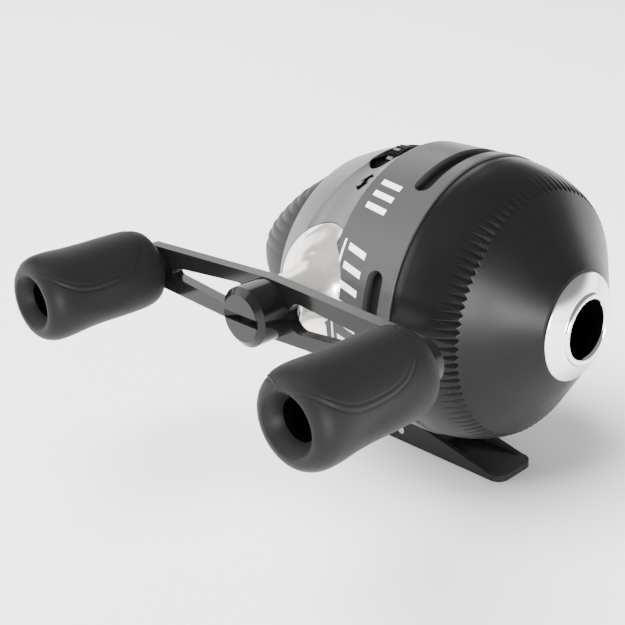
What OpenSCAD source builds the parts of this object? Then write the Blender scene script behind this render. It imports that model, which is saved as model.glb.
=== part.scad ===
// Spincast fishing reel with a double-arm crank handle.
// +X is the way the line leaves, +Z is up, and the crank is on the -Y side.
// The origin is the centre of the foot's flat underside. All sizes are in mm.

/* [Body] */
// Height of the reel axis above the foot's underside
axis_z = 42; // [41.5:0.5:43]
// Outer radius of the grey body band
band_r = 33; // [32.9:0.05:33.2]
// Radius at the serrated corner of the front cover
corner_r = 28; // [27.8:0.1:28.3]
// Number of serrations round the corner
serrations = 96; // [72:12:120]
// Radius of the line hole in the nose ring
nose_hole_r = 6.06; // [5.5:0.02:6.3]

/* [Crank] */
// Distance from the crank axis to each knob axis
arm_reach = 41.5; // [38:0.5:44]
// Thickness of the handle plate
arm_t = 2.8; // [2.4:0.1:3]
// Largest radius of a grip knob
knob_r = 9.9; // [9.5:0.1:10.5]

/* [Foot] */
// Length of the foot
foot_len = 57; // [54:1:60]
// Width of the foot
foot_w = 13; // [12.6:0.1:13.4]

/* [Hidden] */
$fn = 96;

// Stations along the reel axis
band_rear_x = -0.6;
band_front_x = 17.8;
band_in_r = 30.65;
wall_out_r = 30.6;
wall_in_r = 28.6;
wall_front_x = 21;
deck_rear_x = 11;
deck_front_x = 13.5;
corner_x = 32;
seat_x = 42.6;
seat_r = 12.2;
sleeve_r = 9.2;

// Slots in the band: width, half angle to the end centres, clock angles of their middles
slot_x = 12.45;
slot_w = 4.3;
slot_half = 27.1;
slot_clocks = [-96, 0, 96];

// Crank axis
crank_x = -4;
crank_z = axis_z + 6;
crank_offset = crank_z - axis_z;
shaft_r = 3;
thread_r = 2.1;
rivet_r = 2.1;
boss_r = 6.4;
hub_face_y = -46.4;
hub_back_y = hub_face_y + arm_t;

// Gear pair: the gear's straight teeth lie along the pinion, so the pair runs offset
gear_teeth = 21;
pinion_teeth = 8;
pinion_pitch_r = 3.6;
mesh_dx = pinion_pitch_r * gear_teeth / pinion_teeth;
gear_r = 12.3;
gear_face_y = -4.55;
gear_back_y = -6.8;
tooth_top_y = -2.85;

// Shafts, spool and rotor
centre_r = 2;
hub_r = 7;
button_travel = 5;
rotor_pin_x = 24.9;

// Opening for the button: a tilted plane behind the back cover
cut_x = -24.3;
cut_z = axis_z + 1;
cut_tilt = 8.5;
button_floor_z = axis_z - 8.5;
button_front_x = -17.8;
button_side_r = 23.1;
button_low_z = 0.3;
button_high_z = 2.2;

// Nickel side plate outline, seen along Y
plate_x = -3;
plate_z = axis_z - 0.5;
plate_r = 19.8;
plate_gap = 0.15;

// Drag dial
dial_z = axis_z + 24.8;
dial_r = 6.6;
dial_rear_x = -8.4;
dial_front_x = -5;

// Posts for the cover screws and the bracket screws
cover_post_y = 13;
cover_post_z = axis_z - 13;
cover_post_end_x = -27;
bracket_post_y = 22;
bracket_post_dz = 6;
bracket_x = -18.2;

// Ratchet and pawl
ratchet_teeth = 12;
ratchet_out_r = 7.5;
ratchet_root_r = 6.2;
ratchet_y = -7.6;
ratchet_t = 1.6;
pawl_dx = 11.5;
pawl_dz = 7;
pawl_y = -7.7;

// Foot
foot_t = 1.6;
flange_t = 1.3;
stem_w = 10.2;
pin_x = -2.6;
pin_z = 2.9;
foot_screw_xs = [-9, 3];

// Colours
dark_metal = [0.16, 0.16, 0.17];
black_metal = [0.06, 0.06, 0.065];
grey_metal = [0.36, 0.36, 0.37];
silver_metal = [0.68, 0.68, 0.69];
nickel = [0.80, 0.77, 0.74];
chrome = [0.86, 0.86, 0.87];
steel = [0.62, 0.63, 0.65];
brass = [0.72, 0.56, 0.28];
dark_plastic = [0.20, 0.20, 0.21];
black_plastic = [0.05, 0.05, 0.05];
grip_rubber = [0.12, 0.12, 0.12];
line_clear = [0.78, 0.86, 0.82];
washer_felt = [0.42, 0.40, 0.36];

// ---- helpers ----

// Children drawn along +Z come out along +X from station x on the reel axis
module on_axis(x = 0) {
    translate([x, 0, axis_z]) rotate([0, 90, 0]) children();
}

// Children drawn along +Z come out along -Y from station y on the crank axis
module on_crank(y = 0, dx = 0) {
    translate([crank_x + dx, y, crank_z]) rotate([90, 0, 0]) children();
}

// Turn children about the reel axis; clock 0 is up and +90 is the crank side
module at_clock(a) {
    translate([0, 0, axis_z]) rotate([a, 0, 0]) translate([0, 0, -axis_z]) children();
}

// Solid of revolution about the reel axis from [x, radius] points
module turned(points) {
    translate([0, 0, axis_z]) rotate([0, 90, 0])
        rotate_extrude() polygon([for (p = points) [p[1], p[0]]]);
}

// Plain ring along the reel axis
module ring_x(x0, x1, r_out, r_in) {
    on_axis(x0) difference() {
        cylinder(r = r_out, h = x1 - x0);
        translate([0, 0, -1]) cylinder(r = r_in, h = x1 - x0 + 2);
    }
}

// Plain rod parallel to X
module rod_x(x0, x1, y, z, r) {
    translate([x0, y, z]) rotate([0, 90, 0]) cylinder(r = r, h = x1 - x0);
}

// Plain rod parallel to Y, from y0 towards -Y
module rod_y(x, y0, z, r, length) {
    translate([x, y0, z]) rotate([90, 0, 0]) cylinder(r = r, h = length);
}

// Coil spring along +Z: wire rings joined along a helix
module coil(r, wire, length, turns) {
    around = 10;
    per_turn = 24;
    steps = turns * per_turn;
    rise = (length - wire) / steps;
    points = [for (i = [0 : steps]) for (k = [0 : around - 1])
        let (a = 360 * i / per_turn, b = 360 * k / around, d = r + wire / 2 * cos(b))
        [d * cos(a), d * sin(a), wire / 2 + i * rise + wire / 2 * sin(b)]];
    sides = [for (i = [0 : steps - 1]) for (k = [0 : around - 1])
        let (m = (k + 1) % around)
        [i * around + k, (i + 1) * around + k, (i + 1) * around + m, i * around + m]];
    first = [for (k = [0 : around - 1]) k];
    last = [for (k = [around - 1 : -1 : 0]) steps * around + k];
    polyhedron(points = points, faces = concat([first], sides, [last]), convexity = 8);
}

// Radius of the back cover's dome at a fraction of its length behind the reel's middle
function dome_r(t, inset) = (32.6 - inset) * pow(max(1 - pow(t, 1.19), 0), 0.25);

// Solid dome from just behind the band to the rear pole, shrunk by an inset
module dome_solid(inset = 0) {
    steps = 22;
    length = 34.8 - inset;
    turned(concat([[-0.8, 0]], [for (i = [0 : steps])
        let (t = 0.8 / length + (1 - 0.8 / length) * sin(90 * i / steps))
        [-t * length, dome_r(t, inset)]]));
}

// Everything behind the tilted plane of the button opening and above its floor
module button_side() {
    intersection() {
        translate([cut_x, -60, cut_z]) rotate([0, cut_tilt, 0])
            translate([-80, 0, -60]) cube([80, 120, 120]);
        translate([-90, -60, button_floor_z]) cube([90, 120, 60]);
    }
}

// Round-ended shape of the dial pocket, cut down through the dome
module dial_pocket(half_w, half_len) {
    mid_x = (dial_rear_x + dial_front_x) / 2;
    for (s = [-1, 1])
        translate([mid_x, s * (half_len - half_w), dial_z + 1]) cylinder(r = half_w, h = 12);
    translate([mid_x - half_w, -(half_len - half_w), dial_z + 1])
        cube([2 * half_w, 2 * (half_len - half_w), 12]);
}

// ---- casings ----

module front_cover() {
    outer = [[17.9, 32.5], [20, 32.3], [23, 31.75], [26, 30.9], [28.5, 29.9], [30.5, 28.9],
             [corner_x, corner_r], [seat_x, seat_r], [seat_x, sleeve_r]];
    inner = [[41, sleeve_r], [41, 11.8], [31, 26.6], [29, 28], [26, 29.3], [21.6, wall_out_r + 0.05],
             [17.9, wall_out_r + 0.05]];
    groove_w = 0.9;
    color(dark_metal) difference() {
        turned(concat(outer, inner));
        for (i = [0 : serrations - 1]) at_clock(i * 360 / serrations)
            translate([0, groove_w / 2, axis_z]) rotate([90, 0, 0]) linear_extrude(groove_w)
                polygon([[27.6, 30.6], [corner_x, corner_r - 0.75], [33.3, corner_r - 2.35],
                         [34, corner_r + 1], [28, 33]]);
    }
}

module nose_ring() {
    color(chrome) turned([[seat_x, sleeve_r - 0.05], [seat_x, 12.1], [42.9, 12.1], [44.8, 9.1],
        [45.25, 8.5], [45.4, 7.8], [45.35, 7.1], [45.1, 6.5], [44.6, nose_hole_r],
        [40.2, nose_hole_r], [39.6, 6.7], [39.6, sleeve_r - 0.05]]);
}

module nose_retainer() {
    color(steel) ring_x(39.8, 40.95, 11, sleeve_r - 0.05);
}

module body_band() {
    color(grey_metal) difference() {
        turned([[band_rear_x, band_in_r], [band_rear_x, band_r - 0.4], [band_rear_x + 0.4, band_r],
                [band_front_x - 0.5, band_r - 0.1], [band_front_x, band_r - 0.5],
                [band_front_x, band_in_r]]);
        for (c = slot_clocks) at_clock(c) band_slot();
        on_crank(-20) cylinder(r = boss_r + 0.1, h = 20);
        translate([band_rear_x - 1, -stem_w / 2 - 0.2, 0]) cube([10, stem_w + 0.4, 14]);
    }
}

// One arc slot through the band, centred on the top
module band_slot() {
    reach = 40;
    intersection() {
        ring_x(slot_x - slot_w / 2, slot_x + slot_w / 2, band_r + 2, band_in_r - 1);
        translate([0, 0, axis_z]) rotate([90, 0, 90]) linear_extrude(30)
            polygon([[0, 0], [-reach * tan(slot_half), reach], [reach * tan(slot_half), reach]]);
    }
    for (s = [-1, 1]) at_clock(s * slot_half)
        translate([slot_x, 0, axis_z + band_in_r - 2]) cylinder(r = slot_w / 2 - 0.05, h = 6);
}

module frame() {
    color(black_metal) difference() {
        union() {
            ring_x(0.2, wall_front_x, wall_out_r, wall_in_r);
            ring_x(deck_rear_x, deck_front_x, wall_in_r + 0.5, 3);
            ring_x(9.5, 25.4, hub_r, 3);
            for (s = [-1, 1]) {
                rod_x(cover_post_end_x, deck_rear_x + 1, s * cover_post_y, cover_post_z, 2.6);
                rod_x(0, deck_rear_x + 1, bracket_post_y, axis_z + s * bracket_post_dz, 2.6);
            }
            drag_lug();
            pawl_lug();
            foot_stem();
        }
        rod_x(9, 18.5, 0, axis_z, 5);
        rod_x(9, 30, 0, axis_z, 4.2);
        ring_x(23.8, 24.6, hub_r + 2, hub_r - 0.8);
        rod_x(-5, 5, 0, dial_z, 2);
        rod_x(9, 15, 0, dial_z, 2.25);
        rod_y(pin_x, 10, pin_z, 1.1, 20);
        for (x = foot_screw_xs) translate([x, 0, 0]) cylinder(r = 1.4, h = 8.2);
        on_crank(-20) cylinder(r = boss_r + 0.1, h = 20);
        for (s = [-1, 1]) {
            rod_x(cover_post_end_x - 1, -20, s * cover_post_y, cover_post_z, 1.3);
            rod_x(-2, 7, bracket_post_y, axis_z + s * bracket_post_dz, 1.2);
        }
        rod_y(crank_x + pawl_dx, -9, crank_z + pawl_dz, 1.2, 5);
    }
}

// Lug that carries the drag screw behind the wall
module drag_lug() {
    translate([-3, -4.5, dial_z - 3.6]) cube([6, 9, 8]);
}

// Lug on the deck that carries the pawl's pin
module pawl_lug() {
    translate([crank_x + pawl_dx - 2.6, -12.6, crank_z + pawl_dz - 2.6]) cube([7, 3.2, 5.2]);
}

// Block under the body that the foot is fixed to
module foot_stem() {
    translate([0, stem_w / 2 - 0.05, 0]) rotate([90, 0, 0]) linear_extrude(stem_w - 0.1)
        polygon([[-14, foot_t], [8, foot_t], [8, 13], [0.3, 13], [0.3, 9.1], [-12.5, 9.1], [-14, 7]]);
}

module back_cover() {
    color(silver_metal) difference() {
        union() {
            difference() {
                dome_solid();
                dome_solid(1.4);
                translate([-1.9, -60, -10]) cube([10, 120, 120]);
            }
            ring_x(-1.95, -0.8, 32.35, 30.9);
            for (s = [-1, 1]) intersection() {
                rod_x(-34, cover_post_end_x, s * cover_post_y, cover_post_z, 3.8);
                dome_solid(0.2);
            }
        }
        button_side();
        intersection() {
            button_channel(button_side_r + 0.2, -60, -12);
            translate([-90, -60, button_floor_z]) cube([90, 120, 60]);
        }
        plate_disc();
        dial_pocket(2.8, 10.5);
        for (s = [-1, 1]) {
            rod_x(-40, -28.6, s * cover_post_y, cover_post_z, 2.7);
            rod_x(-40, -20, s * cover_post_y, cover_post_z, 1.4);
        }
    }
}

// Outline of the side plate, seen along Y
module plate_disc(gap = 0) {
    translate([plate_x, 0, plate_z]) rotate([90, 0, 0]) cylinder(r = plate_r - gap, h = 60);
}

// Flare of the side plate's boss: [distance out along -Y, radius]
boss_flare = [[24, 15], [27.5, 14.2], [29, 12.2], [30.5, 10.4], [32.2, 8.7], [34, 7.5],
              [36.5, 6.6], [39, 6.1], [42, 5.9], [42.6, 5.4]];

module side_plate() {
    color(nickel) difference() {
        union() {
            intersection() {
                difference() {
                    dome_solid();
                    dome_solid(1.4);
                }
                plate_disc(plate_gap);
            }
            difference() {
                intersection() {
                    on_crank() rotate_extrude()
                        polygon(concat([[0, 24]], [for (p = boss_flare) [p[1], p[0]]], [[0, 42.6]]));
                    plate_disc(plate_gap);
                }
                dome_solid(1);
                rod_x(band_rear_x - 0.3, 30, 0, axis_z, band_r + 0.35);
            }
            on_crank(-20) cylinder(r = boss_r, h = 13.5);
        }
        on_crank(-19) cylinder(r = 4.6, h = 30);
        side_screw_hole(0.8);
    }
}

// Hole square to the plate near its upper rear edge
module side_screw_hole(r) {
    translate([-18.6, -26.4, axis_z + 8.1]) rotate([0, 74, -115]) cylinder(r = r, h = 8, center = true);
}

module side_screw() {
    color(steel) intersection() {
        side_screw_hole(0.8);
        difference() {
            dome_solid(0.1);
            dome_solid(3);
        }
    }
}

module dial_bezel() {
    color(black_plastic) difference() {
        intersection() {
            dial_pocket(2.75, 10.45);
            difference() {
                dome_solid(0.45);
                dome_solid(2.4);
            }
        }
        translate([dial_rear_x - 0.25, -6, dial_z])
            cube([dial_front_x - dial_rear_x + 0.5, 12, 20]);
    }
}

// ---- thumb button ----

// Side outline of the button as a bar along Y, shrunk by an inset
module button_outline(inset = 0) {
    base = button_floor_z + 0.3;
    rear_z = axis_z + 4.5;
    points = [[button_front_x, base], [button_front_x, axis_z + 27], [-20.8, axis_z + 27],
              [-26, axis_z + 22.9], [-32.5, axis_z + 18.4], [-38.8, axis_z + 12.7],
              [-42.2, axis_z + 8.6], [-43.7, rear_z], [-43, axis_z - 0.5], [-40, axis_z - 5],
              [-35.5, axis_z - 7.6], [-31, base]];
    translate([0, 40, 0]) rotate([90, 0, 0]) linear_extrude(80)
        polygon([for (p = points) [p[0] + (p[0] < button_front_x ? inset : 1.5 * inset),
            p[1] + (p[1] >= rear_z ? -inset : inset)]]);
}

// Union of the two rods and the slab between them that the button's sides follow
module button_channel(r, x0, x1) {
    rod_x(x0, x1, 0, axis_z + button_low_z, r);
    rod_x(x0, x1, 0, axis_z + button_high_z, r);
    translate([x0, -r, axis_z + button_low_z])
        cube([x1 - x0, 2 * r, button_high_z - button_low_z]);
}

module button_solid(inset = 0) {
    intersection() {
        button_outline(inset);
        button_channel(button_side_r - inset, -60, -10);
        translate([inset, 0, 2]) turned([[-10, 0], [-10, 25.6 - inset], [-22, 25.2 - inset],
            [-27, 23.6 - inset], [-32, 20.9 - inset], [-37, 17 - inset], [-41, 12.3 - inset],
            [-43.4, 6.9 - inset], [-44.2, 0]]);
    }
}

module thumb_button() {
    ridge_count = 5;
    color(dark_plastic) difference() {
        union() {
            difference() {
                button_solid();
                button_solid(1.8);
            }
            rod_x(-40.6, -27.05, 0, axis_z, 3.6);
        }
        for (i = [0 : ridge_count - 1])
            rod_y(-24.6 - 1.75 * i, 30, axis_z + 24.5 - 1.24 * i, 0.9, 60);
    }
}

// ---- crank side ----

module crank_shaft() {
    square_w = 4.2;
    color(steel) union() {
        on_crank(-4.6) cylinder(r = shaft_r, h = -4.6 - hub_back_y);
        translate([crank_x - square_w / 2, hub_face_y, crank_z - square_w / 2])
            cube([square_w, arm_t + 0.1, square_w]);
        on_crank(hub_face_y + 0.1) cylinder(r = thread_r, h = 5);
    }
}

module drive_gear() {
    tooth_w = 0.8;
    tooth_len = 1.4;
    color(brass) difference() {
        union() {
            on_crank(gear_face_y) cylinder(r = gear_r, h = gear_face_y - gear_back_y);
            on_crank(gear_back_y) cylinder(r = 5, h = gear_back_y - ratchet_y);
            on_crank(tooth_top_y) for (k = [0 : gear_teeth - 1]) rotate(k * 360 / gear_teeth)
                translate([mesh_dx - tooth_len / 2, -crank_offset - tooth_w / 2, 0])
                    cube([tooth_len, tooth_w, tooth_top_y - gear_face_y + 0.2]);
        }
        on_crank(0) cylinder(r = shaft_r, h = 20);
    }
}

module ratchet_wheel() {
    step = 360 / ratchet_teeth;
    color(steel) on_crank(ratchet_y) difference() {
        linear_extrude(ratchet_t) rotate(7.5) polygon([for (i = [0 : ratchet_teeth - 1], j = [0, 1])
            let (r = j == 0 ? ratchet_out_r : ratchet_root_r, a = i * step + 3 * j)
            [r * cos(a), r * sin(a)]]);
        translate([0, 0, -1]) cylinder(r = shaft_r, h = 4);
    }
}

module crank_clip() {
    color(steel) on_crank(-18.9) difference() {
        cylinder(r = 5, h = 0.9);
        translate([0, 0, -1]) cylinder(r = shaft_r, h = 3);
    }
}

module crank_bushing() {
    color(brass) on_crank(-20) difference() {
        cylinder(r = 4.6, h = 22.6);
        translate([0, 0, -1]) cylinder(r = shaft_r + 0.05, h = 25);
    }
}

module handle_washer() {
    color(steel) on_crank(-42.7) difference() {
        cylinder(r = 5.6, h = 0.85);
        translate([0, 0, -1]) cylinder(r = shaft_r, h = 3);
    }
}

// Points on an arc of radius r round (u, 0), from angle a0 to a1
function arc_points(u, r, a0, a1, steps) =
    [for (i = [0 : steps]) let (a = a0 + (a1 - a0) * i / steps) [u + r * cos(a), r * sin(a)]];

module handle() {
    hub_r = 7;
    end_r = 4.9;
    end_turn = 90 - asin((hub_r - end_r) / arm_reach);
    window_in_u = 9.7;
    window_in_r = 3.4;
    window_out_u = arm_reach - 9.3;
    window_out_r = 1.25;
    window_turn = 90 - asin((window_in_r - window_out_r) / (window_out_u - window_in_u));
    hole_w = 4.3;
    color(black_metal) difference() {
        on_crank(hub_back_y) linear_extrude(arm_t) polygon(concat(
            arc_points(arm_reach, end_r, -end_turn, end_turn, 32),
            arc_points(0, hub_r, end_turn, 180 - end_turn, 2),
            arc_points(-arm_reach, end_r, 180 - end_turn, 180 + end_turn, 32),
            arc_points(0, hub_r, 180 + end_turn, 360 - end_turn, 2)));
        for (a = [0, 180]) on_crank(hub_back_y + 1) rotate([0, 0, a]) linear_extrude(arm_t + 2)
            polygon(concat(
                arc_points(window_out_u, window_out_r, -window_turn, window_turn, 16),
                arc_points(window_in_u, window_in_r, window_turn, 360 - window_turn, 28)));
        for (s = [-1, 1]) on_crank(hub_back_y + 1, s * arm_reach) cylinder(r = rivet_r, h = arm_t + 2);
        translate([crank_x - hole_w / 2, hub_face_y - 1, crank_z - hole_w / 2])
            cube([hole_w, arm_t + 2, hole_w]);
    }
}

module handle_nut() {
    nut_h = 7.8;
    slot_r = 9;
    slot_w = 1.9;
    slot_depth = 2;
    color(black_metal) difference() {
        on_crank(hub_face_y) union() {
            cylinder(r = 6.7, h = nut_h - 1.2);
            translate([0, 0, nut_h - 1.2]) cylinder(r1 = 6.7, r2 = 5.2, h = 1.2);
        }
        on_crank(hub_face_y + 1) cylinder(r = thread_r, h = 6);
        translate([crank_x, hub_face_y - nut_h - slot_r + slot_depth, crank_z - slot_w / 2])
            cylinder(r = slot_r, h = slot_w);
    }
}

module knob_spindles() {
    color(steel) for (s = [-1, 1]) difference() {
        union() {
            on_crank(hub_back_y + 0.3, s * arm_reach) cylinder(r = rivet_r, h = 3.2);
            on_crank(hub_face_y, s * arm_reach) cylinder(r = 2.6, h = 23.5);
        }
        on_crank(-60, s * arm_reach) cylinder(r = 1.2, h = 20);
    }
}

module knob_washers() {
    color(black_metal) for (s = [-1, 1]) on_crank(hub_face_y - 0.05, s * arm_reach) difference() {
        cylinder(r = 5.2, h = 1.3);
        translate([0, 0, -1]) cylinder(r = 2.6, h = 4);
    }
}

module knob_screws() {
    color(steel) for (s = [-1, 1]) difference() {
        union() {
            on_crank(-69.95, s * arm_reach) cylinder(r = 3.6, h = 1.6);
            on_crank(-61, s * arm_reach) cylinder(r = 1.2, h = 9);
        }
        on_crank(-70.85, s * arm_reach) translate([-3, -0.4, 0]) cube([6, 0.8, 2]);
    }
}

// Grip knob round its own axis; side is -1 for the rear knob and +1 for the front knob
module knob(side) {
    color(grip_rubber) on_crank(-48, side * arm_reach) difference() {
        rotate_extrude() polygon([[0, 0], [6.8, 0], [8.2, 0.8], [knob_r - 0.9, 2.6],
            [knob_r - 0.6, 9], [knob_r - 0.35, 15], [knob_r, 22], [knob_r, 26.8],
            [knob_r - 0.5, 29.2], [knob_r - 1.7, 30.6], [7, 31], [0, 31]]);
        translate([0, 0, -1]) cylinder(r = 2.66, h = 40);
        translate([0, 0, 21.9]) cylinder(r = 3.9, h = 20);
        translate([0, 0, 28]) cylinder(r1 = 3.9, r2 = 5.7, h = 3.2);
    }
}

// ---- drive ----

module pinion_gear() {
    step = 360 / pinion_teeth;
    color(brass) difference() {
        union() {
            on_axis(1.5) linear_extrude(7.9) union() {
                circle(r = 2.65);
                for (k = [0 : pinion_teeth - 1]) rotate(step / 2 + k * step)
                    polygon([[2, 0.75], [2.65, 0.7], [pinion_pitch_r, 0.48], [4.15, 0.22],
                             [4.15, -0.22], [pinion_pitch_r, -0.48], [2.65, -0.7], [2, -0.75]]);
            }
            rod_x(9.4, 19.9, 0, axis_z, 3.2);
        }
        difference() {
            rod_x(0, 30, 0, axis_z, centre_r + 0.05);
            translate([-1, -5, axis_z + 1.55]) cube([32, 10, 5]);
        }
    }
}

module pinion_collar() {
    color(steel) ring_x(18.75, 19.8, 4, 3.2);
}

module pinion_bushing() {
    color(brass) ring_x(9.5, 18.5, 5, 3.25);
}

module centre_shaft() {
    color(steel) difference() {
        rod_x(-27, 35, 0, axis_z, centre_r);
        translate([-13, -5, axis_z + 1.5]) cube([34, 10, 5]);
    }
}

module shaft_clip() {
    color(steel) ring_x(-26.9, -26.1, 3.4, centre_r);
}

module spinner_head() {
    skirt_r = 24.2;
    color(dark_metal) difference() {
        turned([[20.5, 22.7], [20.5, skirt_r], [26.4, skirt_r], [27.8, 22.8], [31, 10], [32, 6],
                [32, centre_r], [26.2, centre_r], [26.2, 22.7]]);
        translate([rotor_pin_x, 0, axis_z + 20]) cylinder(r = 0.95, h = 8);
    }
}

module spinner_nut() {
    color(dark_metal) difference() {
        on_axis(32) rotate([0, 0, 30]) cylinder(r = 3.7, h = 3.6, $fn = 6);
        rod_x(30, 35, 0, axis_z, centre_r);
    }
}

module pickup_pin() {
    color(steel) translate([rotor_pin_x, 0, axis_z + 22]) cylinder(r = 0.9, h = 3.9);
}

module spool() {
    color(silver_metal) turned([[15.2, hub_r + 0.05], [15.2, 27.2], [15.5, 27.6], [16.1, 27.6],
        [16.4, 27.2], [16.4, 12], [22.2, 12], [22.2, 21.4], [22.4, 21.8], [23, 21.8],
        [23.2, 21.4], [23.2, hub_r + 0.05]]);
}

module line_pack() {
    color(line_clear) turned([[16.4, 12], [16.4, 20], [18, 20.6], [20.6, 20.6], [22.2, 20],
        [22.2, 12]]);
}

module spool_washer() {
    color(steel) ring_x(23.25, 23.7, 11, hub_r);
}

module spool_clip() {
    color(steel) ring_x(23.85, 24.55, 9, hub_r - 0.8);
}

// ---- drag ----

module drag_dial() {
    notches = 28;
    color(black_plastic) translate([dial_rear_x, 0, dial_z]) rotate([0, 90, 0]) difference() {
        cylinder(r = dial_r, h = dial_front_x - dial_rear_x);
        for (k = [0 : notches - 1]) rotate(k * 360 / notches)
            translate([dial_r + 0.1, 0, -1]) cylinder(r = 0.45, h = 10);
        translate([0, 0, -1]) cylinder(r = 1.92, h = 10);
    }
}

module drag_screw() {
    color(brass) rod_x(-9.4, 3, 0, dial_z, 1.92);
}

module drag_spring() {
    color(steel) translate([3.1, 0, dial_z]) rotate([0, 90, 0]) coil(1.75, 0.6, 6.6, 5);
}

module drag_shoe() {
    color(washer_felt) union() {
        rod_x(4.5, 9.9, 0, dial_z, 1);
        rod_x(9.8, 13.7, 0, dial_z, 2.15);
        rod_x(13.6, 15.1, 0, dial_z, 3.2);
    }
}

// ---- anti-reverse ----

module pawl() {
    thick = 1.4;
    color(steel) translate([crank_x + pawl_dx, pawl_y, crank_z + pawl_dz]) rotate([90, 0, 0])
        difference() {
            union() {
                cylinder(r = 2.3, h = thick);
                linear_extrude(thick) polygon([[1.9, -0.6], [-1.75, -10.5], [-3.6, -9.8],
                    [-1.2, -0.6], [0, 0]]);
            }
            translate([0, 0, -1]) cylinder(r = 1.26, h = 4);
        }
}

module pawl_pin() {
    color(steel) union() {
        rod_y(crank_x + pawl_dx, -7.2, crank_z + pawl_dz, 1.2, 5.2);
        rod_y(crank_x + pawl_dx, -7, crank_z + pawl_dz, 1.9, 0.6);
    }
}

// ---- return spring and bracket ----

module shaft_bracket() {
    leg_y = 18;
    gauge = 1.5;
    color(steel) difference() {
        union() {
            translate([bracket_x, -7, axis_z - 6]) cube([gauge, 7 + leg_y + gauge, 14]);
            translate([bracket_x, leg_y, axis_z - 6]) cube([-0.05 - bracket_x, gauge, 12]);
            intersection() {
                translate([-1.25, leg_y, axis_z - 9]) cube([1.2, 12, 18]);
                rod_x(-3, 3, 0, axis_z, 30.2);
            }
        }
        rod_x(-30, 0, 0, axis_z, centre_r + 0.08);
        for (s = [-1, 1]) rod_x(-3, 3, bracket_post_y, axis_z + s * bracket_post_dz, 1.25);
    }
}

module bracket_screws() {
    color(steel) for (s = [-1, 1]) difference() {
        union() {
            rod_x(-1.3, 6, bracket_post_y, axis_z + s * bracket_post_dz, 1.2);
            rod_x(-2.45, -1.25, bracket_post_y, axis_z + s * bracket_post_dz, 2.1);
        }
        translate([-3, bracket_post_y - 3, axis_z + s * bracket_post_dz - 0.3]) cube([1.1, 6, 0.6]);
    }
}

module return_spring() {
    color(steel) translate([-26, 0, axis_z]) rotate([0, 90, 0]) coil(2.85, 0.65, 7.7, 3.5);
}

// ---- foot and fixings ----

module foot() {
    corner = 3;
    color(black_metal) difference() {
        union() {
            linear_extrude(foot_t) union() {
                square([foot_len - 2 * corner, foot_w], center = true);
                square([foot_len, foot_w - 2 * corner], center = true);
                for (sx = [-1, 1], sy = [-1, 1])
                    translate([sx * (foot_len / 2 - corner), sy * (foot_w / 2 - corner)])
                        circle(r = corner);
            }
            for (y = [-foot_w / 2, foot_w / 2 - flange_t])
                translate([0, y + flange_t, 0]) rotate([90, 0, 0]) linear_extrude(flange_t)
                    polygon([[-25, 0.3], [25, 0.3], [25, foot_t], [-8, 8.8], [-19, 8.8],
                             [-25, foot_t]]);
        }
        rod_y(pin_x, 10, pin_z, 1.1, 20);
        for (x = foot_screw_xs) translate([x, 0, 0]) {
            translate([0, 0, -1]) cylinder(r = 1.5, h = 5);
            cylinder(r1 = 2.7, r2 = 1.5, h = 1.2);
        }
    }
}

module foot_pin() {
    color(steel) rod_y(pin_x, 6.3, pin_z, 1.1, 12.6);
}

module foot_screws() {
    color(steel) for (x = foot_screw_xs) translate([x, 0, 0]) difference() {
        union() {
            translate([0, 0, 0.15]) cylinder(r1 = 2.5, r2 = 1.4, h = 1.1);
            translate([0, 0, 0.2]) cylinder(r = 1.4, h = 7.8);
        }
        translate([-0.35, -3, -1]) cube([0.7, 6, 1.6]);
    }
}

module cover_screws() {
    slot_w = 0.7;
    color(steel) for (s = [-1, 1]) difference() {
        union() {
            rod_x(-28.7, -21, s * cover_post_y, cover_post_z, 1.3);
            rod_x(-30.2, -28.6, s * cover_post_y, cover_post_z, 2.4);
        }
        translate([-31, s * cover_post_y - 3, cover_post_z - slot_w / 2]) cube([1.7, 6, slot_w]);
        translate([-31, s * cover_post_y - slot_w / 2, cover_post_z - 3]) cube([1.7, slot_w, 6]);
    }
}

front_cover();
nose_ring();
nose_retainer();
body_band();
frame();
back_cover();
side_plate();
side_screw();
dial_bezel();
thumb_button();
crank_shaft();
drive_gear();
ratchet_wheel();
crank_clip();
crank_bushing();
handle_washer();
handle();
handle_nut();
knob_spindles();
knob_washers();
knob_screws();
knob(-1);  // rear_knob
knob(1);  // front_knob
pinion_gear();
pinion_collar();
pinion_bushing();
centre_shaft();
shaft_clip();
spinner_head();
spinner_nut();
pickup_pin();
spool();
line_pack();
spool_washer();
spool_clip();
drag_dial();
drag_screw();
drag_spring();
drag_shoe();
pawl();
pawl_pin();
shaft_bracket();
bracket_screws();
return_spring();
foot();
foot_pin();
foot_screws();
cover_screws();
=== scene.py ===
import math

import bmesh
import bpy
import numpy as np
from mathutils import Matrix, Vector


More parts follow.
